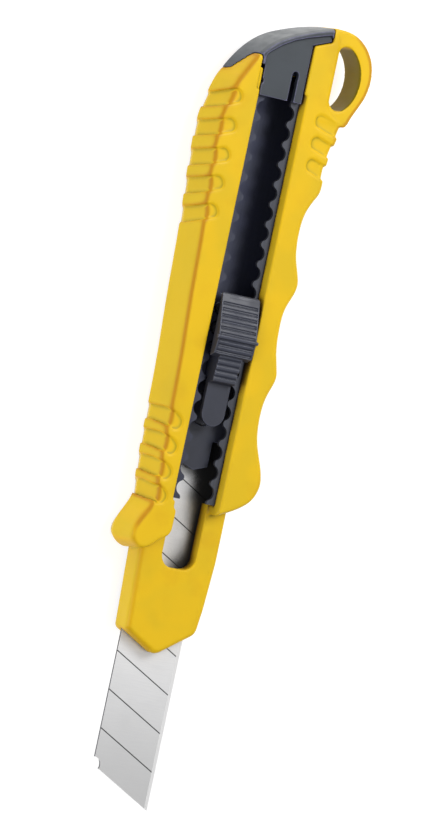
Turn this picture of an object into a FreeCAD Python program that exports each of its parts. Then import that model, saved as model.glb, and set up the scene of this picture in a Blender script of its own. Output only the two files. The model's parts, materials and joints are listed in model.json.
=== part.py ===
"""Snap-off utility knife: a moulded grip on a hard core, a toothed rail, a locking slider and an end cap.

The knife lies on its back. +Z is the normal of the front face, +Y runs to the rear and +X is the side with
the finger grooves. Everything is drawn from the nose tip, with y = 0 there and z = 0 on the back face. Each
sub-part is then moved by nose_tip_y, so that the origin is on the back face, on the blade's centre line, at
mid-handle.
"""

import FreeCAD
import Part

import math
import os

from FreeCAD import Placement, Rotation, Vector

os.makedirs("parts", exist_ok=True)
doc = FreeCAD.newDocument("UtilityKnife")

# ---------------------------------------------------------------- driving dimensions, in mm and degrees

DIMENSIONS = {
    "nose_tip_y": -80.0,
    # heights above the back face
    "core_back_z": 0.8,
    "rail_floor_z": 1.8,
    "blade_mid_z": 3.5,
    "flank_low_z": 3.5,
    "nose_front_z": 7.3,
    "nose_front_round": 1.3,
    "nose_back_round": 0.55,
    "lip_top_z": 9.5,
    "flank_high_z": 10.6,
    "core_front_z": 10.6,
    "front_face_z": 11.6,
    # blade
    "blade_wide": 18.0,
    "blade_long": 100.0,
    "blade_thick": 0.5,
    "blade_out": 38.9,
    "score_pitch": 9.8,
    "first_score": 9.24,
    "score_wide": 0.16,
    "score_deep": 0.07,
    "score_angle": 27.0,
    "edge_bevel": 1.05,
    "corner_notch": 1.95,
    "stud_radius": 1.9,
    "stud_y": 56.6,
    # rail and its hollows
    "rail_half": 9.95,
    "rail_sheet": 0.8,
    "rail_front_y": 39.0,
    "rail_rear_y": 147.0,
    "tooth_tip_x": 3.9,
    "hollow_x": 5.5,
    "hollow_radius": 1.85,
    "notch_pitch": 5.05,
    "first_notch_y": 41.85,
    # core
    "core_half": 11.0,
    "core_rear_y": 147.5,
    "slot_half": 9.2,
    "slot_high": 0.9,
    "window_left_x": -4.1,
    "window_right_x": 5.7,
    "window_front_y": 21.8,
    "window_corner": 3.3,
    "opening_low_half": 6.1,
    "opening_high_half": 7.0,
    # slider
    "carrier_front_y": 46.6,
    "carrier_shoulder_y": 54.4,
    "carrier_rear_y": 91.0,
    "carrier_half": 8.9,
    "carrier_low_z": 3.95,
    "carrier_deck_z": 6.4,
    "carrier_top_z": 8.5,
    "plate_half": 3.9,
    "neck_half": 3.3,
    "pad_half": 5.5,
    "peak_half": 5.9,
    "rib_half": 5.1,
    "pad_low_z": 12.0,
    "pad_front_y": 76.2,
    "pad_rear_y": 91.3,
    "rib_pitch": 1.5,
    "rib_deep": 0.32,
    "press_travel": 1.0,
    "nose_radius": 1.25,
    # end cap
    "cap_gap": 0.15,
    "plate_top_z": 10.9,
    "plate_front_y": 140.8,
    "slit_x": 2.75,
    "slit_wide": 1.8,
    "slit_end_y": 148.4,
    # lanyard loop
    "loop_low_z": 3.3,
    "loop_high_z": 11.3,
    "pad_recess": 0.85,
    "pad_recess_right": 0.6,
    "pad_recess_front": 0.4,
    "pad_climb": 0.15,
}

sheet = doc.addObject("Spreadsheet::Sheet", "Dims")
for row, (alias, number) in enumerate(DIMENSIONS.items(), 1):
    sheet.set(f"A{row}", alias)
    sheet.set(f"B{row}", str(number))
    sheet.setAlias(f"B{row}", alias)
doc.recompute()


def dim(name):
    """A driving dimension, read from the sheet."""
    return float(sheet.get(name))


# ---------------------------------------------------------------- helpers for bound objects


def bound(expression):
    """An expression in which each alias is read from the sheet."""
    words = expression.replace("(", " ( ").replace(")", " ) ").split()
    return " ".join(f"Dims.{word}" if word in DIMENSIONS else word for word in words)


def box(name, x, y, z):
    """A box between the expressions of each (low, high) pair."""
    item = doc.addObject("Part::Box", name)
    for size, place, (low, high) in (("Length", "x", x), ("Width", "y", y), ("Height", "z", z)):
        item.setExpression(size, bound(f"( {high} ) - ( {low} )"))
        item.setExpression(f"Placement.Base.{place}", bound(low))
    return item


def cylinder(name, radius, x, y, z):
    """An upright cylinder between the expressions of z."""
    item = doc.addObject("Part::Cylinder", name)
    low, high = z
    item.setExpression("Radius", bound(radius))
    item.setExpression("Height", bound(f"( {high} ) - ( {low} )"))
    for place, value in (("x", x), ("y", y), ("z", low)):
        item.setExpression(f"Placement.Base.{place}", bound(value))
    return item


def wedge_prism(name, wire, along):
    """A closed wire, extruded along a vector, as a solid."""
    profile = doc.addObject("Part::Feature", f"{name}_profile")
    profile.Shape = wire
    item = doc.addObject("Part::Extrusion", name)
    item.Base = profile
    item.Dir = along
    item.LengthFwd = along.Length
    item.Solid = True
    return item


def upright(name, edges, low, high, climb=0.0):
    """A closed outline in plan, extruded from the height low to high, climbing in y by that much per mm."""
    wire = Part.Wire(edges)
    wire.translate(Vector(0, -climb * (high - low), low))
    return wedge_prism(name, wire, Vector(0, climb * (high - low), high - low))


def fuse(name, items):
    joined = doc.addObject("Part::MultiFuse", name)
    joined.Shapes = items
    return joined


def cut(name, base, tool):
    left = doc.addObject("Part::Cut", name)
    left.Base = base
    left.Tool = tool
    return left


SUBPARTS = []


def finish(item, label):
    """Name a sub-part and move it into the part's own frame."""
    item.Label = label
    item.setExpression("Placement.Base.y", bound("nose_tip_y"))
    SUBPARTS.append(item)


# ---------------------------------------------------------------- helpers for outlines


def at(point, z=0.0):
    return Vector(point[0], point[1], z)


def polygon(points):
    """Straight edges through the points, closed."""
    corners = [at(p) for p in points]
    return [Part.makeLine(a, b) for a, b in zip(corners, corners[1:] + corners[:1])]


def rounded(points):
    """A closed polygon of (x, y, radius) corners, each rounded to its own radius."""
    shaped = []
    count = len(points)
    for number in range(count):
        before, here, after = (at(points[(number + k) % count]) for k in (-1, 0, 1))
        radius = points[number][2]
        back = (before - here).normalize()
        ahead = (after - here).normalize()
        half = back.getAngle(ahead) / 2
        reach = radius / math.tan(half)
        middle = here + (back + ahead).normalize() * (radius / math.sin(half) - radius)
        shaped.append((here + back * reach, middle, here + ahead * reach))
    edges = []
    for number in range(count):
        start, middle, end = shaped[number]
        edges.append(Part.Arc(start, middle, end).toShape())
        edges.append(Part.makeLine(end, shaped[(number + 1) % count][0]))
    return edges


class Stretch:
    """One stretch of an outline: a smooth curve through its points, with how far in it moves at each end.

    The insets are for the front face, the back face and the shoulder, which is just below the front face.
    """

    def __init__(self, points, front=(0.0, 0.0), back=(0.0, 0.0), shoulder=(0.0, 0.0)):
        self.points = [at(p) for p in points]
        self.inset = {"front": front, "back": back, "wall": (0.0, 0.0), "shoulder": shoulder}
        self.curve = Part.BSplineCurve()
        self.curve.interpolate(self.points)
        self.params = [self.curve.parameter(p) for p in self.points]

    def inward(self, number):
        """The unit normal into the outline, which runs counterclockwise."""
        along = self.curve.tangent(self.params[number])[0]
        return Vector(-along.y, along.x, 0)

    def amount(self, level, number, extra):
        start, end = self.inset[level]
        share = number / (len(self.points) - 1)
        return start + (end - start) * share + extra


def corner(first, second, level, extra):
    """Where the inset lines of two neighbouring stretches cross."""
    n1, n2 = first.inward(len(first.points) - 1), second.inward(0)
    d1 = first.amount(level, len(first.points) - 1, extra)
    d2 = second.amount(level, 0, extra)
    spread = n1.x * n2.y - n1.y * n2.x
    here = second.points[0]
    if abs(spread) < 0.12:
        return here + (n1 + n2).normalize() * ((d1 + d2) / 2)
    move = Vector((d1 * n2.y - d2 * n1.y) / spread, (d2 * n1.x - d1 * n2.x) / spread, 0)
    return here + move


def level_wire(outline, level, z, extra=0.0):
    """The outline at the height z, moved in by what each stretch says for that level."""
    count = len(outline)
    corners = [corner(outline[k - 1], outline[k], level, extra) for k in range(count)]
    edges = []
    for number, stretch in enumerate(outline):
        points = [corners[number]]
        for k in range(1, len(stretch.points) - 1):
            points.append(stretch.points[k] + stretch.inward(k) * stretch.amount(level, k, extra))
        points.append(corners[(number + 1) % count])
        points = [p + Vector(0, 0, z) for p in points]
        curve = Part.BSplineCurve()
        curve.interpolate(points)
        edges.append(curve.toShape())
    return Part.Wire(edges)


def levelled_solid(outline, heights, extra=0.0):
    """A solid between the outline's own levels, with flat faces at the back and front."""
    names = ("back", "wall", "shoulder", "front")
    wires = [level_wire(outline, name, z, extra) for name, z in zip(names, heights)]
    return Part.makeLoft(wires, True, True)


def upright_solid(outline, low, high, extra=0.0):
    """The outline, moved in all round by extra, as an upright solid."""
    face = Part.Face(level_wire(outline, "wall", low, extra))
    return face.extrude(Vector(0, 0, high - low))


def feature(name, shape):
    item = doc.addObject("Part::Feature", name)
    item.Shape = shape
    return item


HANDLE_HEIGHTS = (0.0, dim("flank_low_z"), dim("flank_high_z"), dim("front_face_z"))

# ---------------------------------------------------------------- handle core: nose and rail tube


def opening_wedge(name, front, rear, low, high):
    """The slot between the rail's lips and the front face, wider at the front face."""
    slope = (dim("opening_high_half") - dim("opening_low_half")) / (dim("front_face_z") - dim("lip_top_z"))
    narrow = dim("opening_low_half") + slope * (low - dim("lip_top_z"))
    wide = dim("opening_low_half") + slope * (high - dim("lip_top_z"))
    corners = [(-narrow, low), (narrow, low), (wide, high), (-wide, high)]
    points = [Vector(x, front, z) for x, z in corners]
    wire = Part.makePolygon(points + points[:1])
    return wedge_prism(name, wire, Vector(0, rear - front, 0))


def make_core():
    nose_points = [
        (0.0, -0.33, 2.6),
        (10.4, 6.6, 3.0),
        (11.2, 13.0, 3.0),
        (12.0, 25.0, 0.9),
        (12.0, 40.0, 0.9),
        (-10.9, 40.0, 0.9),
        (-10.6, 25.0, 0.9),
        (-10.1, 13.0, 0.9),
        (-9.75, 4.85, 1.3),
    ]
    nose = upright("core_nose", rounded(nose_points), dim("core_back_z"), dim("nose_front_z"))
    softened = doc.addObject("Part::Fillet", "core_nose_softened")
    softened.Base = nose
    doc.recompute()
    flat_heights = (dim("core_back_z"), dim("nose_front_z"))
    rims = []
    for number, edge in enumerate(nose.Shape.Edges, 1):
        box_of_edge = edge.BoundBox
        level = box_of_edge.ZLength < 0.01 and min(abs(box_of_edge.ZMin - z) for z in flat_heights) < 0.01
        if level and box_of_edge.YMin < 38.5:
            in_front = box_of_edge.ZMin > dim("blade_mid_z")
            radius = dim("nose_front_round") if in_front else dim("nose_back_round")
            rims.append((number, radius, radius))
    softened.Edges = rims
    tube = box(
        "core_tube",
        ("0 - core_half", "core_half"),
        ("rail_front_y", "core_rear_y"),
        ("core_back_z", "core_front_z"),
    )
    joined = fuse("core_joined", [softened, tube])
    pocket = box(
        "core_pocket",
        ("0 - rail_half - 0.05", "rail_half + 0.05"),
        ("rail_front_y", "core_rear_y + 1"),
        ("rail_floor_z", "lip_top_z"),
    )
    slot = box(
        "core_slot",
        ("0 - slot_half", "slot_half"),
        ("-5", "rail_front_y + 1"),
        ("blade_mid_z - slot_high / 2", "blade_mid_z + slot_high / 2"),
    )
    window_z = ("blade_mid_z", "front_face_z")
    window_y = ("window_front_y + window_corner", "rail_front_y + 1")
    corner_xs = ("window_left_x + window_corner", "window_right_x - window_corner")
    window = box("core_window", ("window_left_x", "window_right_x"), window_y, window_z)
    window_end = box("core_window_end", corner_xs, ("window_front_y", "rail_front_y"), window_z)
    corners = []
    for mark, x in zip(("left", "right"), corner_xs):
        corners.append(cylinder(f"core_window_{mark}", "window_corner", x, window_y[0], window_z))
    wedge_y = (dim("rail_front_y") - 1, dim("core_rear_y") + 1)
    wedge = opening_wedge("core_opening", *wedge_y, dim("lip_top_z") - 0.2, 11.0)
    tools = fuse("core_tools", [pocket, slot, window, window_end, wedge] + corners)
    finish(cut("handle_core", joined, tools), "handle_core")
    return [joined]


# ---------------------------------------------------------------- grip shell

FINGER_GROOVES = [
    (17.5, 46.6),
    (16.6, 50.4),
    (14.2, 56.3),
    (13.35, 61.9),
    (14.0, 68.2),
    (15.2, 71.4),
    (15.6, 73.3),
    (15.3, 75.2),
    (14.1, 79.6),
    (13.6, 84.3),
    (14.2, 91.0),
    (15.6, 94.3),
    (16.1, 96.8),
    (15.7, 98.9),
    (14.2, 103.0),
    (13.4, 108.9),
    (14.0, 114.6),
    (15.8, 118.4),
    (16.7, 120.0),
    (17.05, 122.2),
    (16.95, 125.0),
]

LEFT_FLANK_POINTS = [
    (-14.0, 145.9),
    (-15.7, 142.7),
    (-17.1, 138.0),
    (-17.95, 134.2),
    (-18.25, 126.2),
    (-17.9, 118.6),
    (-16.95, 106.6),
    (-16.2, 88.6),
    (-15.4, 74.4),
    (-15.0, 60.0),
    (-14.8, 50.0),
    (-14.4, 43.2),
    (-14.0, 38.6),
]
LEFT_FLANK = Stretch(LEFT_FLANK_POINTS, (2.2, 2.2), (2.2, 2.2), (1.7, 1.7))

FLARE_POINTS = [(16.95, 125.0), (17.2, 128.5), (18.3, 133.7), (19.2, 137.8)]

# the whole handle with its end cap, anticlockwise from the front of the finger grooves
HANDLE_OUTLINE = [
    Stretch(
        [(6.4, 36.5), (10.7, 38.4), (13.2, 39.8), (15.8, 42.0), (17.0, 44.2), (17.5, 46.6)],
        (0.5, 0.9),
        (0.6, 1.6),
    ),
    Stretch(FINGER_GROOVES, (0.9, 0.9), (1.6, 1.6)),
    Stretch(FLARE_POINTS, (0.9, 0.7), (1.6, 1.6)),
    Stretch([(19.2, 137.8), (16.2, 139.4), (13.4, 141.8)], (0.7, 0.5), (1.6, 1.0)),
    Stretch([(13.4, 141.8), (13.4, 157.0)], (0.5, 0.5), (1.0, 1.0)),
    Stretch([(13.4, 157.0), (12.4, 159.4), (11.0, 161.1)], (0.5, 0.6), (1.0, 1.2)),
    Stretch(
        [
            (11.0, 161.1),
            (7.6, 160.4),
            (3.8, 159.4),
            (0.0, 158.1),
            (-3.6, 156.6),
            (-7.4, 154.1),
            (-11.0, 150.4),
            (-14.0, 145.9),
        ],
        (0.6, 2.2),
        (1.2, 2.2),
        (0.1, 1.7),
    ),
    LEFT_FLANK,
    Stretch(
        [
            (-14.0, 38.6),
            (-15.15, 35.3),
            (-16.85, 32.1),
            (-17.65, 29.2),
            (-17.1, 26.9),
            (-15.5, 25.4),
            (-13.4, 24.7),
            (-11.4, 25.1),
            (-9.2, 26.8),
            (-6.7, 28.8),
        ],
        (2.2, 0.5),
        (2.2, 0.6),
        (1.7, 0.1),
    ),
    Stretch([(-6.7, 28.8), (-5.6, 29.8), (-5.1, 31.2)], (0.5, 0.4), (0.6, 0.4)),
    Stretch([(-5.1, 31.2), (-5.1, 36.0)], (0.4, 0.3), (0.4, 0.3)),
    Stretch([(-5.1, 36.0), (-5.9, 36.8)], (0.3, 0.3), (0.3, 0.3)),
    Stretch([(-5.9, 36.8), (-5.9, 39.2)], (0.3, 0.3), (0.3, 0.3)),
    Stretch([(-5.9, 39.2), (6.4, 39.2)]),
    Stretch([(6.4, 39.2), (6.4, 36.5)], (0.6, 0.6), (0.3, 0.3)),
]

# the smooth flanks alone, from which the grip pads are sunk: shallower on the right, and fading out towards
# the back face on the left
SUNK_FLARE = [(x + dim("pad_recess") - dim("pad_recess_right"), y) for x, y in FLARE_POINTS]
FLANKS = [
    Stretch(SUNK_FLARE, (0.9, 0.7), (1.6, 1.6)),
    Stretch([SUNK_FLARE[-1], (-14.0, 145.9)]),
    Stretch(LEFT_FLANK_POINTS, (2.2, 2.2), (1.6, 1.6), (1.7, 1.7)),
    Stretch([(-14.0, 38.6), (-13.5, 33.0)], (2.2, 2.2), (1.6, 1.6), (1.7, 1.7)),
    Stretch([(-13.5, 33.0), (16.95, 33.0)]),
    Stretch([(16.95, 33.0), SUNK_FLARE[0]], (0.9, 0.9), (1.6, 1.6)),
]

# the rear of the handle that is the end cap's own
CAP_REGION = [
    Stretch([(6.1, 148.25), (6.1, 155.6)]),
    Stretch([(6.1, 155.6), (11.05, 157.45)]),
    Stretch([(11.05, 157.45), (11.05, 166.0)]),
    Stretch([(11.05, 166.0), (-18.0, 166.0)]),
    Stretch([(-18.0, 166.0), (-18.0, 144.1)]),
    Stretch([(-18.0, 144.1), (-13.1, 145.9)]),
    Stretch([(-13.1, 145.9), (-11.7, 147.7), (-9.6, 150.15)]),
    Stretch([(-9.6, 150.15), (-8.85, 150.6), (-8.1, 150.35), (-7.8, 149.65)]),
    Stretch([(-7.8, 149.65), (-7.8, 148.25)]),
    Stretch([(-7.8, 148.25), (6.1, 148.25)]),
]

LOOP_OUTER = [
    (18.66, 137.6),
    (19.3, 137.55),
    (19.9, 138.1),
    (20.6, 139.65),
    (21.8, 142.2),
    (23.5, 145.7),
    (24.35, 150.4),
    (23.6, 154.6),
    (21.9, 157.4),
    (19.4, 159.6),
    (16.6, 160.8),
    (14.2, 161.15),
    (11.1, 161.15),
]

LOOP_HOLE = [
    (13.6, 155.6),
    (14.4, 156.9),
    (15.7, 157.3),
    (18.4, 155.9),
    (20.4, 152.9),
    (21.1, 148.9),
    (20.3, 145.0),
    (18.6, 142.4),
    (16.8, 141.2),
    (14.9, 141.5),
    (13.6, 143.2),
]

UPPER_PADS_Y = (139.3, 131.9, 124.5, 117.45, 110.3)
LOWER_PADS_Y = (57.8, 51.55, 45.2, 39.2)
RIGHT_PADS_Y = (137.65, 132.1, 126.5)

# each pad is a slot from the handle's side, given by its upper side, its round inner end and its lower side
UPPER_PAD = (
    [(-20.0, 1.15), (-16.0, 1.15), (-13.6, 1.85)],
    [(-13.6, 1.85), (-12.4, 1.6), (-11.5, 0.7), (-11.25, -0.5), (-12.3, -1.7)],
    [(-12.3, -1.7), (-16.0, -2.95), (-20.0, -2.95)],
)
LOWER_PAD = (
    [(-20.0, 2.9), (-13.2, 2.9), (-12.3, 2.25)],
    [(-12.3, 2.25), (-9.6, 1.3), (-8.7, 0.0), (-9.2, -1.75), (-10.5, -2.4), (-12.0, -1.8)],
    [(-12.0, -1.8), (-12.7, -1.75), (-14.0, -0.95), (-20.0, -0.9)],
)
RIGHT_PAD = (
    [(22.0, -0.9), (12.8, 1.9)],
    [(12.8, 1.9), (12.1, 1.95), (11.0, 1.3), (10.6, -0.2), (11.4, -1.5)],
    [(11.4, -1.5), (14.7, -2.5), (16.6, -2.8), (22.0, -3.3)],
)


def pad_recess(name, shape, y, low, climb=0.0):
    """A pad's slot at its own place along the handle, cut down to the height low."""
    upper, end, lower = ([(x, y + dy) for x, dy in part] for part in shape)
    edges = []
    for side in (upper, lower):
        edges += [Part.makeLine(at(a), at(b)) for a, b in zip(side, side[1:])]
    edges.append(curve_edge(end))
    edges.append(Part.makeLine(at(lower[-1]), at(upper[0])))
    return upright(name, Part.__sortEdges__(edges), low, 12.5, climb)


def curve_edge(points):
    curve = Part.BSplineCurve()
    curve.interpolate([at(p) for p in points])
    return curve.toShape()


def rear_way_out(name, gap):
    """The passage behind the rail, as wide as its inside, by which the slider and the blade come out."""
    side = f"rail_half - rail_sheet - {gap}"
    heights = (f"rail_floor_z + rail_sheet + {gap}", f"lip_top_z - rail_sheet - {gap}")
    return box(name, (f"0 - ( {side} )", side), ("core_rear_y - 1", "166"), heights)


def make_grip(core_envelope):
    outer = feature("grip_outer", levelled_solid(HANDLE_OUTLINE, HANDLE_HEIGHTS))
    back, wall, shoulder, front = HANDLE_HEIGHTS
    sunk_heights = (back, wall, shoulder - 0.2, front - dim("pad_recess_front"))
    inner = feature("grip_sunk_surface", levelled_solid(FLANKS, sunk_heights, dim("pad_recess")))
    slabs = []
    for number, y in enumerate(UPPER_PADS_Y, 1):
        slabs.append(pad_recess(f"upper_pad_{number}", UPPER_PAD, y, -0.5, dim("pad_climb")))
    for number, y in enumerate(LOWER_PADS_Y, 1):
        slabs.append(pad_recess(f"lower_pad_{number}", LOWER_PAD, y, -0.5))
    for number, y in enumerate(RIGHT_PADS_Y, 1):
        slabs.append(pad_recess(f"right_pad_{number}", RIGHT_PAD, y, 5.0))
    recesses = cut("grip_recesses", fuse("grip_slabs", slabs), inner)
    ring_edges = [curve_edge(LOOP_OUTER)]
    inner_side = [(11.1, 161.15), (11.1, 157.4), (11.5, 138.0), (18.66, 137.6)]
    ring_edges += [Part.makeLine(at(a), at(b)) for a, b in zip(inner_side, inner_side[1:])]
    ring = upright("grip_loop", ring_edges, dim("loop_low_z"), dim("loop_high_z"))
    hole_edges = [curve_edge(LOOP_HOLE), Part.makeLine(at(LOOP_HOLE[-1]), at(LOOP_HOLE[0]))]
    hole = upright("grip_loop_hole", hole_edges, -1.0, 13.0)
    wedge = opening_wedge("grip_opening", 38.4, 143.2, dim("lip_top_z"), 12.6)
    rear_z = ("lip_top_z - rail_sheet", "front_face_z + 1")
    rear_opening = box("grip_rear_opening", ("-7.8", "6.1"), ("142", "149"), rear_z)
    cap_room = feature("grip_cap_room", upright_solid(CAP_REGION, -1.0, 13.0))
    way_out = rear_way_out("grip_way_out", "0")
    body = cut("grip_recessed", outer, recesses)
    looped = fuse("grip_looped", [body, ring])
    tools = fuse("grip_tools", core_envelope + [hole, wedge, rear_opening, cap_room, way_out])
    finish(cut("grip_shell", looped, tools), "grip_shell")


# ---------------------------------------------------------------- channel rail


def scallop_edges(side, first, last):
    """The toothed edge of one lip, from hollow number first to last: round hollows and round teeth."""
    pitch, deep = dim("notch_pitch"), dim("hollow_x") - dim("tooth_tip_x")
    reach = (pitch * pitch / 4 + deep * deep) / (2 * deep)
    hollow_r = dim("hollow_radius")
    tooth_r = reach - hollow_r
    hollow_c = dim("hollow_x") - hollow_r
    tooth_c = dim("tooth_tip_x") + tooth_r
    share = hollow_r / reach
    meet_x = hollow_c + (tooth_c - hollow_c) * share
    meet_dy = pitch / 2 * share
    arcs = []
    for number in range(first, last + 1):
        y = dim("first_notch_y") + number * pitch
        hollow = ((meet_x, y - meet_dy), (dim("hollow_x"), y), (meet_x, y + meet_dy))
        arcs.append(hollow)
        if number < last:
            tooth_tip = (dim("tooth_tip_x"), y + pitch / 2)
            arcs.append(((meet_x, y + meet_dy), tooth_tip, (meet_x, y + pitch - meet_dy)))
    return [Part.Arc(*(Vector(side * x, y, 0) for x, y in arc)) for arc in arcs]


def plane_of(body, role):
    return next(f for f in body.Origin.OriginFeatures if f.Role == role)


def sketch_on(body, name, role, offset=0.0):
    sketch = body.newObject("Sketcher::SketchObject", name)
    sketch.AttachmentSupport = [(plane_of(body, role), "")]
    sketch.MapMode = "FlatFace"
    sketch.AttachmentOffset = Placement(Vector(0, 0, offset), Rotation())
    return sketch


def draw_polygon(sketch, points):
    """A closed polygon in a sketch's own plane."""
    corners = [Vector(a, b, 0) for a, b in points]
    lines = [Part.LineSegment(a, b) for a, b in zip(corners, corners[1:] + corners[:1])]
    sketch.addGeometry(lines, False)


def make_rail():
    body = doc.addObject("PartDesign::Body", "channel_rail")
    outside = sketch_on(body, "rail_section", "XZ_Plane", -dim("rail_front_y"))
    half, sheet_t = dim("rail_half"), dim("rail_sheet")
    low, high = dim("rail_floor_z"), dim("lip_top_z")
    draw_polygon(outside, [(-half, low), (half, low), (half, high), (-half, high)])
    inside = [(-half + sheet_t, low + sheet_t), (half - sheet_t, low + sheet_t)]
    inside += [(half - sheet_t, high - sheet_t), (-half + sheet_t, high - sheet_t)]
    draw_polygon(outside, inside)
    pad = body.newObject("PartDesign::Pad", "rail_length")
    pad.Profile = outside
    pad.setExpression("Length", bound("rail_rear_y - rail_front_y"))
    pad.Reversed = True
    doc.recompute()

    slot = sketch_on(body, "rail_scallops", "XY_Plane", high)
    right = scallop_edges(1, -1, 21)
    left = scallop_edges(-1, -1, 21)
    sketch_ends = [(right[0].StartPoint, left[0].StartPoint), (right[-1].EndPoint, left[-1].EndPoint)]
    slot.addGeometry(right + left + [Part.LineSegment(a, b) for a, b in sketch_ends], False)
    pocket = body.newObject("PartDesign::Pocket", "rail_slot")
    pocket.Profile = slot
    pocket.setExpression("Length", bound("rail_sheet + 0.2"))
    doc.recompute()
    removed = pad.Shape.Volume - pocket.Shape.Volume
    assert removed > 400, f"the rail's slot removed only {removed:.1f} mm3"
    finish(body, "channel_rail")


# ---------------------------------------------------------------- blade


def make_blade():
    half, out = dim("blade_wide") / 2, dim("blade_out")
    rise = dim("blade_wide") * math.tan(math.radians(dim("score_angle")))
    tip = Vector(half, -out, 0)
    spine_end = Vector(-half, -out + rise, 0)
    notch = dim("corner_notch")
    down = (tip - spine_end).normalize()
    on_spine = spine_end + Vector(0, notch, 0)
    on_end = spine_end + down * notch
    deepest = spine_end + (Vector(0, 1, 0) + down).normalize() * notch
    rear = dim("blade_long") - out

    body = doc.addObject("PartDesign::Body", "blade")
    outline = sketch_on(body, "blade_outline", "XY_Plane", dim("blade_mid_z"))
    rear_left, rear_right = Vector(-half, rear, 0), Vector(half, rear, 0)
    outline.addGeometry(
        [
            Part.LineSegment(on_end, tip),
            Part.LineSegment(tip, rear_right),
            Part.LineSegment(rear_right, rear_left),
            Part.LineSegment(rear_left, on_spine),
            Part.Arc(on_spine, deepest, on_end),
        ],
        False,
    )
    pad = body.newObject("PartDesign::Pad", "blade_sheet")
    pad.Profile = outline
    pad.setExpression("Length", bound("blade_thick"))
    pad.Midplane = True
    doc.recompute()

    hole_sketch = sketch_on(body, "blade_hole_circle", "XY_Plane", dim("blade_mid_z"))
    centre = Vector(0, dim("stud_y"), 0)
    hole_sketch.addGeometry(Part.Circle(centre, Vector(0, 0, 1), dim("stud_radius") + 0.05), False)
    hole = body.newObject("PartDesign::Pocket", "blade_hole")
    hole.Profile = hole_sketch
    hole.Type = 1
    hole.Midplane = True
    doc.recompute()
    assert pad.Shape.Volume - hole.Shape.Volume > 4, "the blade's hole wasn't cut"

    bevel_sketch = sketch_on(body, "edge_bevels", "XZ_Plane")
    face, edge = dim("blade_thick") / 2, 0.03
    mid = dim("blade_mid_z")
    for side in (1, -1):
        bevel = [
            (half - dim("edge_bevel"), mid + side * face),
            (half + 0.1, mid + side * edge),
            (half + 0.1, mid + side * (face + 0.1)),
            (half - dim("edge_bevel"), mid + side * (face + 0.1)),
        ]
        draw_polygon(bevel_sketch, bevel)
    bevels = body.newObject("PartDesign::Pocket", "cutting_edge")
    bevels.Profile = bevel_sketch
    bevels.Type = 1
    bevels.Midplane = True
    doc.recompute()
    assert hole.Shape.Volume - bevels.Shape.Volume > 5, "the cutting edge wasn't ground"

    first = -out + dim("first_score")
    score_sketch = sketch_on(body, "score_line", "XY_Plane", mid + face)
    slope = math.tan(math.radians(dim("score_angle")))
    inner = half - dim("edge_bevel")
    wide = dim("score_wide") / 2
    draw_polygon(
        score_sketch,
        [
            (inner, first + (half - inner) * slope - wide),
            (inner, first + (half - inner) * slope + wide),
            (-half - 0.1, first + (2 * half + 0.1) * slope + wide),
            (-half - 0.1, first + (2 * half + 0.1) * slope - wide),
        ],
    )
    score = body.newObject("PartDesign::Pocket", "score")
    score.Profile = score_sketch
    score.setExpression("Length", bound("score_deep"))
    doc.recompute()
    scores = body.newObject("PartDesign::LinearPattern", "scores")
    scores.Originals = [score]
    scores.Direction = (score_sketch, ["V_Axis"])
    scores.setExpression("Length", bound("score_pitch * 7"))
    scores.Occurrences = 8
    body.Tip = scores
    doc.recompute()
    assert bevels.Shape.Volume - scores.Shape.Volume > 1, "the score lines weren't cut"
    finish(body, "blade")


# ---------------------------------------------------------------- slider: carrier, stud, lock, spring, button


def make_carrier():
    half, plate = dim("carrier_half"), dim("plate_half")
    front, shoulder = dim("carrier_front_y"), dim("carrier_shoulder_y")
    deck = [
        (0.0, front),
        (plate, front + 1.4),
        (plate, shoulder),
        (half, shoulder),
        (half, dim("carrier_rear_y")),
        (-half, dim("carrier_rear_y")),
        (-half, shoulder),
        (-plate, shoulder),
        (-plate, front + 1.4),
    ]
    base = upright("carrier_deck", polygon(deck), dim("carrier_low_z"), dim("carrier_deck_z"))
    pit = cylinder(
        "carrier_pit", "neck_half + 0.9", "-0.35", "62.0", ("carrier_deck_z - 0.9", "carrier_deck_z + 1")
    )
    runner_z = ("carrier_deck_z - 0.5", "carrier_top_z")
    runner_y = ("carrier_shoulder_y + 6", "carrier_rear_y")
    left_x = ("0 - carrier_half", "0 - carrier_half + 2.4")
    left_runner = box("carrier_left_runner", left_x, runner_y, runner_z)
    right_runner = box("carrier_right_runner", ("carrier_half - 2.4", "carrier_half"), runner_y, runner_z)
    socket_z = ("carrier_deck_z - 0.5", "carrier_top_z - 0.5")
    socket = box("carrier_socket_block", ("0 - carrier_half", "carrier_half"), ("69.2", "78.4"), socket_z)
    mouth = box(
        "carrier_socket_mouth",
        ("0 - neck_half - 0.1", "neck_half + 0.1"),
        ("69.9", "77.6"),
        ("carrier_deck_z", "carrier_top_z + 1"),
    )
    stud_hole = cylinder(
        "carrier_stud_hole", "stud_radius", "0", "stud_y", ("carrier_low_z - 1", "carrier_low_z + 1.2")
    )
    solid = fuse("carrier_solid", [base, left_runner, right_runner, socket])
    tools = fuse("carrier_tools", [pit, mouth, stud_hole])
    finish(cut("blade_carrier", solid, tools), "blade_carrier")


def make_stud():
    shank = cylinder("stud_shank", "stud_radius", "0", "stud_y", ("blade_mid_z - 0.6", "carrier_low_z + 1.2"))
    softened = doc.addObject("Part::Chamfer", "blade_stud")
    softened.Base = shank
    doc.recompute()
    low = [
        (number, 0.2, 0.2)
        for number, edge in enumerate(shank.Shape.Edges, 1)
        if edge.BoundBox.ZMax < dim("blade_mid_z")
    ]
    softened.Edges = low
    finish(softened, "blade_stud")


LOCK_NOTCHES = (8, 9)


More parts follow.
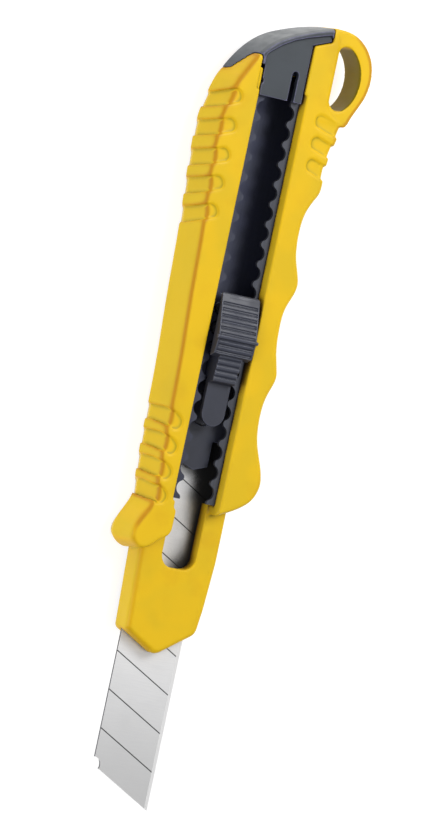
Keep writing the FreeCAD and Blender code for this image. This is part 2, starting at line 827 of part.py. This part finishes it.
def make_lock_plate():
    plate_z = ("lip_top_z - rail_sheet", "lip_top_z")
    strip = box("lock_strip", ("0 - neck_half", "neck_half"), ("79.2", "90.4"), plate_z)
    noses = [strip]
    for number in LOCK_NOTCHES:
        for side, mark in ((1, "right"), (-1, "left")):
            centre = f"{side} * 3.9"
            where = f"first_notch_y + notch_pitch * {number}"
            noses.append(cylinder(f"lock_nose_{mark}_{number}", "nose_radius", centre, where, plate_z))
    finish(fuse("lock_plate", noses), "lock_plate")


def make_spring():
    """A leaf with a flat foot on the carrier, a sloping arm and a flat top under the lock plate."""
    thick = 0.25
    foot, top = dim("carrier_deck_z"), dim("lip_top_z") - dim("rail_sheet") - thick
    spine = [(89.6, foot), (86.6, foot), (82.6, top), (80.4, top)]
    profile = [Vector(-2.4, y, z) for y, z in spine]
    profile += [Vector(-2.4, y, z + thick) for y, z in reversed(spine)]
    wire = Part.makePolygon(profile + profile[:1])
    finish(wedge_prism("return_spring", wire, Vector(4.8, 0, 0)), "return_spring")


def trough(y, crest, deep):
    """The side profile of one trough between two ribs, with a low rib along its middle."""
    half = dim("rib_pitch") / 2
    top = crest + 1.0
    return [
        (y - 0.45 * half, crest - deep),
        (y - 0.2 * half, crest - deep),
        (y - 0.05 * half, crest - 0.45 * deep),
        (y + 0.15 * half, crest - deep),
        (y + 0.35 * half, crest - deep),
        (y + 0.6 * half, crest),
        (y + 0.6 * half, top),
        (y - 0.6 * half, top),
        (y - 0.6 * half, crest),
    ]


def ribbed_top(start, end, count, heights):
    """The side profile of a row of ribs from y = start to end, whose tops follow the heights."""
    points = []
    pitch = (end - start) / count
    for number in range(count):
        y = start + pitch * number
        crest = heights(y + pitch / 2)
        low = crest - dim("rib_deep")
        points += [(y + 0.1 * pitch, low), (y + 0.3 * pitch, crest)]
        points += [(y + 0.75 * pitch, crest), (y + 0.9 * pitch, low)]
    return points


PAD_PEAK = (80.4, 14.6)


def pad_height(y):
    """The pad's top: highest a quarter of the way back, and falling to the rear."""
    peak_y, peak_z = PAD_PEAK
    if y < peak_y:
        return peak_z - (peak_y - y) * 0.17
    return peak_z - (y - peak_y) * 0.235


def neck_height(y):
    """The stepped front part: it falls towards the front."""
    return 12.35 + (y - 69.0) * 0.13


def make_button():
    body = doc.addObject("PartDesign::Body", "thumb_button")
    front, rear, low = dim("pad_front_y"), dim("pad_rear_y"), dim("pad_low_z")
    peak = PAD_PEAK[0]
    pad_profile = [(rear - 3.0, low - 0.1), (rear, low - 0.5), (rear, 11.8)]
    pad_profile += [(rear - 0.3, pad_height(rear - 0.3)), (peak, PAD_PEAK[1])]
    pad_profile += [(front, pad_height(front)), (front - 0.9, low)]
    pad_sketch = sketch_on(body, "pad_profile", "YZ_Plane")
    draw_polygon(pad_sketch, pad_profile)
    pad = body.newObject("PartDesign::Pad", "thumb_pad")
    pad.Profile = pad_sketch
    pad.setExpression("Length", bound("2 * pad_half"))
    pad.Midplane = True
    doc.recompute()

    rib_sketch = sketch_on(body, "trough_profiles", "YZ_Plane")
    for number in range(-3, 7):
        if number != 0:
            y = peak + (number - 0.5 * number / abs(number)) * dim("rib_pitch")
            draw_polygon(rib_sketch, trough(y, pad_height(y), dim("rib_deep")))
    ribs = body.newObject("PartDesign::Pocket", "ribs")
    ribs.Profile = rib_sketch
    ribs.setExpression("Length", bound("2 * rib_half"))
    ribs.Midplane = True
    doc.recompute()
    assert pad.Shape.Volume - ribs.Shape.Volume > 5, "the pad's ribs weren't cut"
    softened = body.newObject("PartDesign::Fillet", "rear_corners")
    upright_edges = [
        f"Edge{number}"
        for number, edge in enumerate(ribs.Shape.Edges, 1)
        if edge.BoundBox.YMin > rear - 0.01 and edge.BoundBox.XLength < 0.01
    ]
    softened.Base = (ribs, upright_edges)
    softened.Radius = 0.7
    doc.recompute()

    peak_sketch = sketch_on(body, "peak_rib_profile", "YZ_Plane")
    peak_profile = [(peak + 0.5, 14.1), (peak + 0.3, 14.95), (peak - 0.35, 14.95), (peak - 0.6, 14.1)]
    draw_polygon(peak_sketch, peak_profile)
    peak_rib = body.newObject("PartDesign::Pad", "peak_rib")
    peak_rib.Profile = peak_sketch
    peak_rib.setExpression("Length", bound("2 * peak_half"))
    peak_rib.Midplane = True
    doc.recompute()

    under_front, plate_top = 70.0, dim("lip_top_z")
    post_low = dim("carrier_deck_z") + dim("press_travel") + 0.2
    neck_profile = [(90.4, plate_top), (90.4, low + 0.3), (front + 0.4, low + 0.3), (front + 0.4, 13.2)]
    neck_profile += list(reversed(ribbed_top(69.0, front + 0.2, 5, neck_height)))
    neck_profile += [(68.8, 10.4), (61.4, 10.4), (61.4, 9.2), (under_front, 9.2), (under_front, post_low)]
    neck_profile += [(77.5, post_low), (77.5, plate_top)]
    neck_sketch = sketch_on(body, "neck_profile", "YZ_Plane")
    draw_polygon(neck_sketch, neck_profile)
    neck = body.newObject("PartDesign::Pad", "neck")
    neck.Profile = neck_sketch
    neck.setExpression("Length", bound("2 * neck_half"))
    neck.Midplane = True
    doc.recompute()

    tongue_sketch = sketch_on(body, "tongue_circle", "XY_Plane", 9.2)
    tongue_sketch.addGeometry(Part.Circle(Vector(0, 61.4, 0), Vector(0, 0, 1), dim("neck_half")), False)
    tongue = body.newObject("PartDesign::Pad", "tongue_end")
    tongue.Profile = tongue_sketch
    tongue.Length = 1.2
    doc.recompute()
    assert tongue.Shape.Volume - neck.Shape.Volume > 15, "the tongue's round end is missing"
    body.Tip = tongue
    finish(body, "thumb_button")


# ---------------------------------------------------------------- end cap

def make_cap():
    whole = feature("cap_whole_handle", levelled_solid(HANDLE_OUTLINE, HANDLE_HEIGHTS))
    upper = feature("cap_region_upright", upright_solid(CAP_REGION, -1.0, 13.0, dim("cap_gap")))
    behind_rail = box("cap_behind_rail", ("-12", "12"), ("core_rear_y + 0.1", "166"), ("-1", "13"))
    tenon = doc.addObject("Part::Common", "cap_tenon")
    tenon.Base = rear_way_out("cap_way_out", "0.1")
    tenon.Tool = behind_rail
    block = doc.addObject("Part::Common", "cap_block")
    block.Base = whole
    block.Tool = fuse("cap_region", [upper, tenon])
    inner_rim = [
        (10.4, 159.2),
        (7.4, 158.3),
        (3.8, 157.2),
        (0.2, 155.8),
        (-3.2, 153.9),
        (-6.4, 151.4),
        (-6.9, 150.6),
        (-6.9, 140.0),
        (12.0, 140.0),
        (12.0, 157.0),
    ]
    sunk = upright("cap_sunk_face", polygon(inner_rim), dim("plate_top_z"), 13.0)
    plate_profile = [(-6.0, dim("lip_top_z") + 0.1), (5.8, dim("lip_top_z") + 0.1)]
    plate_profile += [(5.95, dim("plate_top_z")), (-6.5, dim("plate_top_z"))]
    corners = [Vector(x, dim("plate_front_y"), z) for x, z in plate_profile]
    plate_wire = Part.makePolygon(corners + corners[:1])
    plate = wedge_prism("cap_plate", plate_wire, Vector(0, 10.0, 0))
    fingers = []
    for mark, low, high in (("left", "-8.9", "-7.2"), ("right", "7.2", "8.9")):
        fingers.append(box(f"cap_{mark}_finger", (low, high), ("141.2", "148"), ("5.0", "8.4")))
    slit = box(
        "cap_slit",
        ("slit_x - slit_wide / 2", "slit_x + slit_wide / 2"),
        ("plate_front_y - 1", "slit_end_y - slit_wide / 2"),
        ("lip_top_z - 0.5", "front_face_z + 1"),
    )
    slit_end = cylinder(
        "cap_slit_end",
        "slit_wide / 2",
        "slit_x",
        "slit_end_y - slit_wide / 2",
        ("lip_top_z - 0.5", "front_face_z + 1"),
    )
    notch = cylinder("cap_edge_notch", "0.9", "-6.9", "144.3", ("lip_top_z", "front_face_z + 1"))
    sunk_block = cut("cap_sunk", block, sunk)
    solid = fuse("cap_solid", [sunk_block, plate] + fingers)
    tools = fuse("cap_tools", [slit, slit_end, notch])
    finish(cut("end_cap", solid, tools), "end_cap")


# ---------------------------------------------------------------- build, check and write

envelope = make_core()
make_grip(envelope)
make_rail()
make_blade()
make_carrier()
make_stud()
make_lock_plate()
make_spring()
make_button()
make_cap()
doc.recompute()

broken = [f"{o.Name}: {o.State}" for o in doc.Objects if "Invalid" in o.State or "Error" in o.State]
assert not broken, f"objects that failed: {broken}"
for item in SUBPARTS:
    shape = item.Shape
    assert not shape.isNull() and shape.isValid(), f"{item.Label} isn't a valid shape"
    print(f"{item.Label:15s} {shape.Volume:9.1f} mm3  solids {len(shape.Solids)}  {shape.BoundBox}")
    shape.exportStep(f"parts/{item.Label}.step")
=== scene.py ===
"""Looks of the snap-off utility knife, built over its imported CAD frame. Lengths are in metres."""

import json
import math

import bmesh
import bpy
import numpy as np
from mathutils import Matrix, Vector

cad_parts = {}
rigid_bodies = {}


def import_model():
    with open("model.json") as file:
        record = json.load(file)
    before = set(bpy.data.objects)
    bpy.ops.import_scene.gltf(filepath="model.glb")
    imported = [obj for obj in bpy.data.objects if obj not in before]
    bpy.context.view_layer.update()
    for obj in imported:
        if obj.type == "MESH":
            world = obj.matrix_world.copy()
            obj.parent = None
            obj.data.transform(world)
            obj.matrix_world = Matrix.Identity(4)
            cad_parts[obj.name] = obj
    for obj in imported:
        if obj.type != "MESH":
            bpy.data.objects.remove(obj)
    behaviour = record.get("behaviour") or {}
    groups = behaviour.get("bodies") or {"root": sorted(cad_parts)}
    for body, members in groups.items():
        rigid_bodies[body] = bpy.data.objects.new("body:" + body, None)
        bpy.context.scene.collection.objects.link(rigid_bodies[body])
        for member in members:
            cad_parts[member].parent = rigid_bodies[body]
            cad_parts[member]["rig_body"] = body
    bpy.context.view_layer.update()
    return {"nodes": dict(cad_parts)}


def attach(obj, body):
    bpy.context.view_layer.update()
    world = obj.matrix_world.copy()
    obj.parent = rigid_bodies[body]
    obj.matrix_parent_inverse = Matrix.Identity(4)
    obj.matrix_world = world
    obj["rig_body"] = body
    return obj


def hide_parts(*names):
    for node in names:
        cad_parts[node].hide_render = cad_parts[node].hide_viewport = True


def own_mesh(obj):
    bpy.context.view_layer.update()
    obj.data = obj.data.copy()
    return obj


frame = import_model()
nodes = frame["nodes"]
MM = 0.001

# ---------------------------------------------------------------- camera, light and floor

VIEW_TURN = math.radians(31.0)
VIEW_ROLL = math.radians(11.95)
LENS = 300.0
FRAME_HIGH = 207.9 * MM
TARGET = Vector((4.05, -19.6, 7.5)) * MM
WORLD_STRENGTH = 0.28
FLOOR_GREY = 0.35
FLOOR_GLOW = 0.82


def aim(obj, towards_camera, up, place):
    """Turn an object so that its -Z looks along the view, with up as near the image's top as can be."""
    back = towards_camera.normalized()
    right = up.cross(back).normalized()
    top = back.cross(right)
    turn = Matrix((right, top, back)).transposed()
    obj.matrix_world = Matrix.Translation(place) @ turn.to_4x4()


def make_camera():
    back = Vector((-math.sin(VIEW_TURN), 0.0, math.cos(VIEW_TURN)))
    side = Vector((math.cos(VIEW_TURN), 0.0, math.sin(VIEW_TURN)))
    up = Vector((0.0, 1.0, 0.0)) * math.cos(VIEW_ROLL) - side * math.sin(VIEW_ROLL)
    data = bpy.data.cameras.new("camera")
    data.lens = LENS
    distance = FRAME_HIGH * LENS / data.sensor_width
    data.clip_end = 20.0
    camera = bpy.data.objects.new("camera", data)
    bpy.context.scene.collection.objects.link(camera)
    aim(camera, back, up, TARGET + back * distance)
    bpy.context.scene.camera = camera


def area_light(name, turn, rise, distance, size, power, colour=(1.0, 1.0, 1.0)):
    """A soft box aimed at the knife, from a turn about +Z, counted from +X, and a rise above the floor."""
    turn, rise = math.radians(turn), math.radians(rise)
    towards = Vector((math.cos(turn) * math.cos(rise), math.sin(turn) * math.cos(rise), math.sin(rise)))
    data = bpy.data.lights.new(name, "AREA")
    data.shape = "RECTANGLE"
    data.size, data.size_y = size
    data.energy = power
    data.color = colour
    lamp = bpy.data.objects.new(name, data)
    bpy.context.scene.collection.objects.link(lamp)
    aim(lamp, towards, Vector((0.0, 1.0, 0.01)), TARGET + towards * distance)


def make_world():
    world = bpy.data.worlds.new("studio")
    world.use_nodes = True
    background = world.node_tree.nodes["Background"]
    background.inputs["Color"].default_value = (1.0, 1.0, 1.0, 1.0)
    background.inputs["Strength"].default_value = WORLD_STRENGTH
    bpy.context.scene.world = world


def make_floor():
    mesh = bpy.data.meshes.new("floor")
    half = 1.2
    corners = [(-half, -half, 0), (half, -half, 0), (half, half, 0), (-half, half, 0)]
    mesh.from_pydata(corners, [], [(0, 1, 2, 3)])
    floor = bpy.data.objects.new("floor", mesh)
    bpy.context.scene.collection.objects.link(floor)
    material = bpy.data.materials.new("floor_paper")
    material.use_nodes = True
    shader = material.node_tree.nodes["Principled BSDF"]
    shader.inputs["Base Color"].default_value = (FLOOR_GREY, FLOOR_GREY, FLOOR_GREY, 1.0)
    shader.inputs["Roughness"].default_value = 0.9
    shader.inputs["Emission Color"].default_value = (1.0, 1.0, 1.0, 1.0)
    shader.inputs["Emission Strength"].default_value = FLOOR_GLOW
    floor.data.materials.append(material)


make_camera()
make_world()
make_floor()
area_light("key", 55.0, 48.0, 0.7, (0.3, 0.3), 2.75)
area_light("side", 193.0, 17.0, 0.8, (0.9, 0.25), 3.2)
area_light("rear", 118.0, 30.0, 0.8, (0.6, 0.3), 0.7)
area_light("sheen", 8.0, 60.0, 0.8, (0.7, 0.9), 1.1)
bpy.context.scene.view_settings.view_transform = "Standard"

# ---------------------------------------------------------------- softened copies of the CAD mouldings


def modifier(obj, kind, **settings):
    added = obj.modifiers.new(kind.lower(), kind)
    for key, value in settings.items():
        setattr(added, key, value)
    return added


def apply_modifiers(obj):
    graph = bpy.context.evaluated_depsgraph_get()
    mesh = bpy.data.meshes.new_from_object(obj.evaluated_get(graph))
    obj.modifiers.clear()
    obj.data = mesh


def relaxed(points, edges, rounds):
    """The points after so many rounds of moving each to the mean of itself and its neighbours."""
    count = len(points)
    a, b = edges[:, 0], edges[:, 1]
    degree = np.bincount(a, minlength=count) + np.bincount(b, minlength=count)
    for _ in range(rounds):
        total = np.empty_like(points)
        for axis in range(points.shape[1]):
            column = points[:, axis]
            total[:, axis] = np.bincount(a, column[b], count) + np.bincount(b, column[a], count)
        points = 0.5 * points + 0.5 * total / degree[:, None]
    return points


def mark_relief(mesh, fine, broad):
    """Store how far each point stands out of its surroundings, in mm: near by (edge), farther off (relief).

    The third value (lean) is how far the surface about a point faces along +X. All are evened out over
    their neighbours, so that the mesh's own grid doesn't show.
    """
    count = len(mesh.vertices)
    points = np.empty(count * 3)
    mesh.vertices.foreach_get("co", points)
    points = points.reshape(-1, 3)
    normals = np.empty(count * 3, np.float32)
    mesh.vertices.foreach_get("normal", normals)
    normals = normals.reshape(-1, 3)
    edges = np.empty(len(mesh.edges) * 2, np.int64)
    mesh.edges.foreach_get("vertices", edges)
    edges = edges.reshape(-1, 2)
    for name, rounds in (("edge", fine), ("relief", broad)):
        away = ((points - relaxed(points, edges, rounds)) * normals).sum(1) / MM
        away = relaxed(away[:, None], edges, 3)[:, 0]
        store(mesh, name, away)
    store(mesh, "lean", relaxed(normals[:, :1].astype(float), edges, broad)[:, 0])


def store(mesh, name, values):
    layer = mesh.attributes.new(name, "FLOAT", "POINT")
    layer.data.foreach_set("value", values.astype(np.float32))


def softened(made_of, name, voxel, rounds, fine=4, broad=40):
    """A copy of CAD nodes of one body with an even mesh, whose edges are as round as a moulding's."""
    joined = bmesh.new()
    for node in made_of:
        joined.from_mesh(nodes[node].data)
    mesh = bpy.data.meshes.new(name)
    joined.to_mesh(mesh)
    joined.free()
    piece = bpy.data.objects.new(name, mesh)
    bpy.context.scene.collection.objects.link(piece)
    modifier(piece, "REMESH", mode="VOXEL", voxel_size=voxel * MM, use_smooth_shade=True)
    apply_modifiers(piece)
    modifier(piece, "SMOOTH", factor=0.5, iterations=rounds)
    apply_modifiers(piece)
    mark_relief(piece.data, fine, broad)
    piece.data.materials.clear()
    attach(piece, nodes[made_of[0]]["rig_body"])
    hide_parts(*made_of)
    return piece


# ---------------------------------------------------------------- materials


# colours of painted shade: orange along turning edges, also used for a random warm tone; brown on the yellow
# plastic and navy on the dark parts and steel
ORANGE_TONE_AND_EDGE_SHADE = (0.58, 0.26, 0.006)
SHADE_BROWN = (0.04, 0.025, 0.008)
SHADE_NAVY = (0.03, 0.034, 0.075)


class Shading:
    """One material's node tree, built step by step."""

    def __init__(self, name):
        self.material = bpy.data.materials.new(name)
        self.material.use_nodes = True
        self.tree = self.material.node_tree
        self.shader = self.tree.nodes["Principled BSDF"]
        self.place = self.tree.nodes.new("ShaderNodeTexCoord").outputs["Object"]
        self.parts = self.node("ShaderNodeSeparateXYZ", {0: self.place}).outputs

    def node(self, kind, inputs=None, **settings):
        made = self.tree.nodes.new(kind)
        for key, value in settings.items():
            setattr(made, key, value)
        for key, value in (inputs or {}).items():
            if isinstance(value, bpy.types.NodeSocket):
                self.tree.links.new(value, made.inputs[key])
            else:
                made.inputs[key].default_value = value
        return made

    def noise(self, size, detail=3.0, stretch=(1.0, 1.0, 1.0)):
        """A noise whose blotches are about size millimetres across, from 0 to 1."""
        scale = Vector(stretch) / (size * MM)
        mapped = self.node("ShaderNodeMapping", {"Vector": self.place, "Scale": scale})
        inputs = {"Vector": mapped.outputs[0], "Scale": 1.0, "Detail": detail}
        return self.node("ShaderNodeTexNoise", inputs).outputs["Fac"]

    def ramp(self, value, low, high, bottom=0.0, top=1.0):
        """Map value's range low to high onto bottom to top, held at both ends."""
        inputs = {"Value": value, "From Min": low, "From Max": high, "To Min": bottom, "To Max": top}
        return self.node("ShaderNodeMapRange", inputs, interpolation_type="SMOOTHSTEP").outputs["Result"]

    def math(self, operation, a, b=0.0):
        return self.node("ShaderNodeMath", {0: a, 1: b}, operation=operation).outputs[0]

    def mix(self, share, first, second):
        inputs = {"Factor": share, "A": first, "B": second}
        made = self.tree.nodes.new("ShaderNodeMix")
        made.data_type = "RGBA"
        for index, key in ((0, "Factor"), (6, "A"), (7, "B")):
            value = inputs[key]
            if isinstance(value, bpy.types.NodeSocket):
                self.tree.links.new(value, made.inputs[index])
            else:
                made.inputs[index].default_value = value if index == 0 else (*value, 1.0)
        return made.outputs[2]

    def attribute(self, name):
        return self.node("ShaderNodeAttribute", attribute_name=name).outputs["Fac"]

    def openness(self, distance):
        """1 on open faces, down to 0 deep in hollows and corners about distance millimetres wide."""
        inputs = {"Distance": distance * MM}
        return self.node("ShaderNodeAmbientOcclusion", inputs, samples=12).outputs["AO"]

    def times(self, *shares):
        product = shares[0]
        for share in shares[1:]:
            product = self.math("MULTIPLY", product, share)
        return product

    def place_part(self, axis):
        """Where a point is in the scene, however far its own piece has moved."""
        place = self.node("ShaderNodeNewGeometry").outputs["Position"]
        return self.node("ShaderNodeSeparateXYZ", {0: place}).outputs[axis]

    def normal_part(self, axis):
        geometry = self.node("ShaderNodeNewGeometry").outputs["Normal"]
        return self.node("ShaderNodeSeparateXYZ", {0: geometry}).outputs[axis]

    def bump(self, height, distance, strength=1.0):
        inputs = {"Height": height, "Distance": distance * MM, "Strength": strength}
        made = self.node("ShaderNodeBump", inputs)
        self.tree.links.new(made.outputs[0], self.shader.inputs["Normal"])

    def set(self, **sockets):
        """Set or link the shader's sockets, whose names have underscores for spaces."""
        for key, value in sockets.items():
            socket = self.shader.inputs[key.replace("_", " ")]
            if isinstance(value, bpy.types.NodeSocket):
                self.tree.links.new(value, socket)
            elif isinstance(value, tuple) and len(value) == 3:
                socket.default_value = (*value, 1.0)
            else:
                socket.default_value = value


def yellow_plastic(name, base, olive):
    """Satin moulded plastic with a fine grain and random warm and olive tones, painted shade in soft
    creases, hollows and grooves and on the left flank, and painted pale highlights on edges.
    """
    look = Shading(name)
    edge, relief = look.attribute("edge"), look.attribute("relief")
    outward, lean = look.normal_part("X"), look.attribute("lean")
    x, y = look.parts["X"], look.parts["Y"]
    cloud = look.noise(14.0, 2.0)
    colour = look.mix(look.ramp(cloud, 0.4, 0.7, 0.0, 0.4), base, olive)
    warmth = look.noise(9.0, 3.0)
    colour = look.mix(look.ramp(warmth, 0.5, 0.75, 0.0, 0.18), colour, ORANGE_TONE_AND_EDGE_SHADE)
    # painted shade: faces turned to the left flank go olive
    flank = look.ramp(outward, -0.75, -0.95)
    colour = look.mix(look.times(flank, 0.55), colour, olive)
    # painted shade: olive in broad recesses
    recess_shade = look.ramp(relief, -0.012, -0.13)
    colour = look.mix(look.times(recess_shade, 0.95), colour, olive)
    # painted shade: an orange line along the turn from the front face to the left flank, fainter on the nose
    turning_edge_shade = look.times(
        look.ramp(lean, -0.1, -0.4), look.ramp(lean, -0.93, -0.6), look.ramp(relief, -0.04, 0.06)
    )
    faint_on_nose = look.ramp(y, -51.5 * MM, -48.0 * MM, 0.35, 0.95)
    turning_edge_shade = look.times(turning_edge_shade, look.ramp(x, 0.0, -2.0 * MM), faint_on_nose)
    colour = look.mix(turning_edge_shade, colour, ORANGE_TONE_AND_EDGE_SHADE)
    # painted shade: an orange line along the loop's rounded edge
    loop_edge_shade = look.times(
        look.ramp(lean, 0.04, 0.25), look.ramp(outward, 0.6, 0.3), look.ramp(relief, 0.0, 0.1)
    )
    loop_edge_shade = look.times(loop_edge_shade, look.ramp(x, 15.0 * MM, 19.0 * MM), 0.8)
    colour = look.mix(loop_edge_shade, colour, ORANGE_TONE_AND_EDGE_SHADE)
    # painted shade: dark brown in narrow grooves, weaker on faces turned to the left
    groove_shade_line = look.times(look.ramp(edge, -0.004, -0.035), look.ramp(outward, -0.85, -0.3, 0.4, 1.0))
    colour = look.mix(look.times(groove_shade_line, 0.9), colour, (0.36, 0.235, 0.008))
    # painted highlight: patchy pale yellow on sharp convex edges
    patchy_edge_highlight = look.times(look.ramp(edge, 0.05, 0.12), look.ramp(look.noise(1.2, 4.0), 0.4, 0.7))
    colour = look.mix(look.times(patchy_edge_highlight, 0.3), colour, (0.95, 0.72, 0.1))
    # painted shade on the walls that face the rail and the window and on the inside of the loop, darker
    # where they lie deep, and in all closed hollows
    openness = look.openness(4.0)
    facing_rail = look.times(look.ramp(outward, -0.2, -0.6), look.ramp(x, 2.5 * MM, 3.5 * MM))
    in_loop = look.ramp(x, 11.5 * MM, 12.5 * MM)
    colour = look.mix(look.times(facing_rail, in_loop, 0.95), colour, (0.17, 0.14, 0.0))
    rail_wall_shade = look.times(facing_rail, look.math("SUBTRACT", 1.0, in_loop))
    colour = look.mix(look.times(rail_wall_shade, look.ramp(openness, 0.95, 0.6)), colour, (0.22, 0.11, 0.006))
    colour = look.mix(look.times(rail_wall_shade, look.ramp(openness, 0.7, 0.5)), colour, SHADE_BROWN)
    hollow_shade = look.ramp(openness, 0.5, 0.2)
    colour = look.mix(look.times(hollow_shade, 0.95), colour, SHADE_BROWN)
    rough = look.ramp(look.noise(5.0, 3.0), 0.3, 0.7, 0.38, 0.5)
    look.set(Base_Color=colour, Roughness=rough, Specular_IOR_Level=0.2)
    look.bump(look.noise(0.22, 2.0), 0.01)
    return look.material


def dark_plastic(name, base, pale, rear_highlight_strength):
    """Dark satin plastic with a fine grain, painted pale highlights on its edges, painted shade in grooves
    and hollows, and a painted highlight on faces turned to its rear end.
    """
    look = Shading(name)
    edge = look.attribute("edge")
    colour = look.mix(look.ramp(look.noise(9.0, 3.0), 0.35, 0.65), base, tuple(c * 0.85 for c in base))
    # painted highlight: pale, patchy, on convex edges
    patchy = look.ramp(look.noise(0.9, 3.0), 0.3, 0.7, 0.6, 1.0)
    colour = look.mix(look.times(look.ramp(edge, 0.004, 0.025), patchy), colour, pale)
    # painted highlight: paler grey, patchy, on faces turned to the rear (+Y)
    patchy_rear = look.ramp(look.noise(2.5, 4.0), 0.2, 0.7, 0.6, 1.0)
    rear_highlight_mask = look.times(look.ramp(look.normal_part("Y"), 0.3, 0.95), patchy_rear)
    colour = look.mix(look.times(rear_highlight_mask, rear_highlight_strength), colour, (0.26, 0.27, 0.275))
    # painted shade: darker in narrow grooves
    deep = look.ramp(edge, -0.005, -0.03)
    colour = look.mix(look.times(deep, 0.6), colour, tuple(c * 0.3 for c in base))
    # painted shade: navy in closed hollows
    hollow_shade = look.ramp(look.openness(2.5), 0.7, 0.2)
    colour = look.mix(look.times(hollow_shade, 0.9), colour, SHADE_NAVY)
    rough = look.ramp(look.noise(4.0, 3.0), 0.3, 0.7, 0.36, 0.5)
    look.set(Base_Color=colour, Roughness=rough, Specular_IOR_Level=0.45)
    look.bump(look.noise(0.2, 2.0), 0.01)
    return look.material


def rolled_steel(name, base, metallic, roughness):
    """Rolled sheet: streaks along the sheet and faint stains."""
    look = Shading(name)
    streak = look.noise(0.5, 3.0, (1.0, 0.06, 1.0))
    stain = look.noise(6.0, 4.0)
    colour = look.mix(look.ramp(streak, 0.3, 0.7), base, tuple(c * 0.8 for c in base))
    colour = look.mix(look.ramp(stain, 0.5, 0.75, 0.0, 0.4), colour, tuple(c * 0.6 for c in base))
    # painted shade: darker towards the rail's floor, patchy with the stains, and along the far lip
    floor_shade = look.ramp(look.parts["Z"], 8.0 * MM, 4.0 * MM, 0.0, 0.75)
    colour = look.mix(look.times(floor_shade, look.ramp(stain, 0.3, 0.7, 0.6, 1.0)), colour, SHADE_NAVY)
    far_lip_shade = look.ramp(look.parts["X"], -2.0 * MM, -5.0 * MM, 0.0, 0.45)
    colour = look.mix(far_lip_shade, colour, SHADE_NAVY)
    rough = look.ramp(stain, 0.3, 0.7, roughness - 0.06, roughness + 0.08)
    look.set(Base_Color=colour, Roughness=rough, Metallic=metallic)
    look.bump(streak, 0.006)
    return look.material


# the blade's score lines, in mm: their slope, their spacing, and where one meets the cutting edge
SCORE_TILT = math.tan(math.radians(27.0))
SCORE_PITCH = 9.8
SCORE_AT_EDGE = -109.66


def ground_steel(name):
    """The blade: ground across its length, with dark score lines that are spaced as the grooves are."""
    look = Shading(name)
    x, y = look.parts["X"], look.parts["Y"]
    across = look.noise(0.16, 2.0, (0.04, 1.0, 1.0))
    colour = look.mix(look.ramp(across, 0.3, 0.7), (0.87, 0.87, 0.875), (0.83, 0.83, 0.84))
    smear = look.noise(9.0, 3.0)
    colour = look.mix(look.ramp(smear, 0.45, 0.8, 0.0, 0.3), colour, (0.7, 0.7, 0.71))
    # painted shade: darker towards the blade's tip, where its reflection fades
    tip_shade = look.ramp(y, -75.0 * MM, -118.0 * MM, 0.0, 0.7)
    colour = look.mix(tip_shade, colour, (0.5, 0.5, 0.5))
    outward = look.normal_part("X")
    # painted highlight: the cutting bevel, found by its slope, paler
    bevel_highlight = look.ramp(look.math("ABSOLUTE", outward), 0.08, 0.2)
    colour = look.mix(bevel_highlight, colour, (0.95, 0.95, 0.95))
    # painted shade: the blade's thin back and edge faces dark
    side = look.ramp(look.math("ABSOLUTE", outward), 0.6, 0.9)
    colour = look.mix(side, colour, (0.1, 0.1, 0.11))
    # the score lines are even steps of y + x * tilt
    along = look.math("ADD", y, look.math("MULTIPLY", look.math("SUBTRACT", x, 9.0 * MM), SCORE_TILT))
    steps = look.math("DIVIDE", look.math("SUBTRACT", along, SCORE_AT_EDGE * MM), SCORE_PITCH * MM)
    off = look.math("ABSOLUTE", look.math("SUBTRACT", steps, look.math("ROUND", steps)))
    line = look.ramp(off, 0.011, 0.021, 1.0, 0.0)
    inside = look.ramp(x, 7.9 * MM, 8.0 * MM, 1.0, 0.0)
    colour = look.mix(look.math("MULTIPLY", line, inside), colour, (0.06, 0.06, 0.065))
    # inside the handle the half by the finger grooves lies in the dark
    behind_nose = look.ramp(look.place_part("Y"), -64.0 * MM, -60.0 * MM)
    covered = look.ramp(look.openness(8.0), 0.96, 0.62)
    shaded = look.times(look.ramp(x, -3.6 * MM, 3.2 * MM), covered, behind_nose)
    colour = look.mix(look.times(shaded, 0.97), colour, (0.012, 0.012, 0.014))
    rough = look.ramp(smear, 0.3, 0.7, 0.3, 0.4)
    look.set(Base_Color=colour, Roughness=rough, Metallic=0.4)
    look.bump(across, 0.0015)
    return look.material


YELLOW = yellow_plastic("grip_yellow", (0.87, 0.55, 0.008), (0.66, 0.47, 0.016))
CAP_GREY = dark_plastic("cap_grey", (0.038, 0.048, 0.06), (0.15, 0.148, 0.25), 0.8)
SLIDER_GREY = dark_plastic("slider_grey", (0.034, 0.038, 0.058), (0.1, 0.11, 0.16), 0.15)
RAIL_STEEL = rolled_steel("rail_dark_steel", (0.072, 0.078, 0.1), 0.5, 0.4)
BRIGHT_STEEL = rolled_steel("bright_steel", (0.55, 0.55, 0.56), 1.0, 0.32)
BLADE_STEEL = ground_steel("blade_ground_steel")

handle = softened(("grip_shell", "handle_core"), "handle_moulding", 0.25, 11)
cap = softened(("end_cap",), "cap_moulding", 0.16, 4)
button = softened(("thumb_button",), "button_moulding", 0.11, 2)
carrier = softened(("blade_carrier",), "carrier_moulding", 0.16, 3)

spring = bpy.data.objects.new("spring_leaf", nodes["return_spring"].data.copy())
bpy.context.scene.collection.objects.link(spring)
spring.data.materials.clear()
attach(spring, nodes["return_spring"]["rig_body"])
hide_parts("return_spring")
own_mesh(spring)

for piece, material in (
    (handle, YELLOW),
    (cap, CAP_GREY),
    (button, SLIDER_GREY),
    (carrier, SLIDER_GREY),
    (spring, BRIGHT_STEEL),
):
    piece.data.materials.append(material)

for node, material in {
    "channel_rail": RAIL_STEEL,
    "blade": BLADE_STEEL,
    "blade_stud": BRIGHT_STEEL,
    "lock_plate": BRIGHT_STEEL,
}.items():
    nodes[node].data.materials.clear()
    nodes[node].data.materials.append(material)
